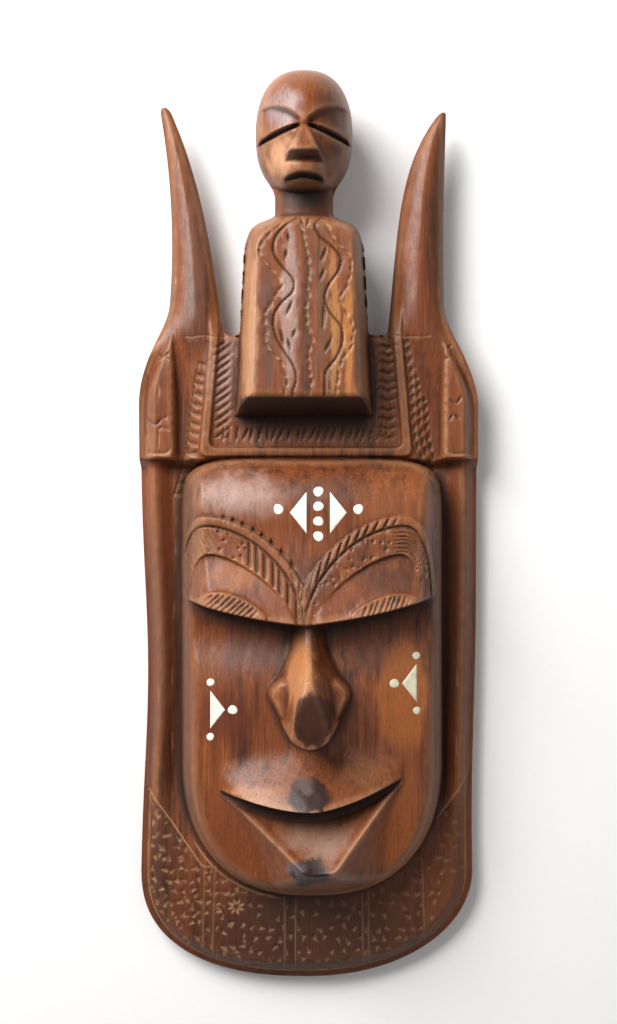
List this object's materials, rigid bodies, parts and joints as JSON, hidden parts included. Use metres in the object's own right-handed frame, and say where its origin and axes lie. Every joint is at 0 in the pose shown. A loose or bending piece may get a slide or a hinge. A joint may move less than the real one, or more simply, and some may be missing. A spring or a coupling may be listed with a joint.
{
  "type": "african mask",
  "caption": "Carved wooden wall mask with a long plank, a face, a pair of upright horns and a small figure between them, set with pale inlays.",
  "frame": {"origin": "centre of the bounding box's underside, with the mask lying on its back", "axes": "+Z out of the face, +Y towards the head of the small figure, +X to the right as the face is looked at"},
  "size_m": [0.1868, 0.4972, 0.0779],
  "materials": {
    "varnished_wood": "satin varnish over reddish brown wood with straight grain, darker in the cuts",
    "bone": "polished pale bone or shell, set flush"
  },
  "bodies": {
    "root": {"mask": "varnished_wood", "inlay_forehead_dot_1": "bone", "inlay_forehead_dot_2": "bone", "inlay_forehead_dot_3": "bone", "inlay_forehead_dot_4": "bone", "inlay_forehead_dot_left": "bone", "inlay_forehead_dot_right": "bone", "inlay_forehead_triangle_left": "bone", "inlay_forehead_triangle_right": "bone", "inlay_cheek_triangle_left": "bone", "inlay_cheek_dot_left_upper": "bone", "inlay_cheek_dot_left_lower": "bone", "inlay_cheek_dot_left_tip": "bone", "inlay_cheek_triangle_right": "bone", "inlay_cheek_dot_right_upper": "bone", "inlay_cheek_dot_right_lower": "bone", "inlay_cheek_dot_right_tip": "bone"}
  },
  "joints": []
}
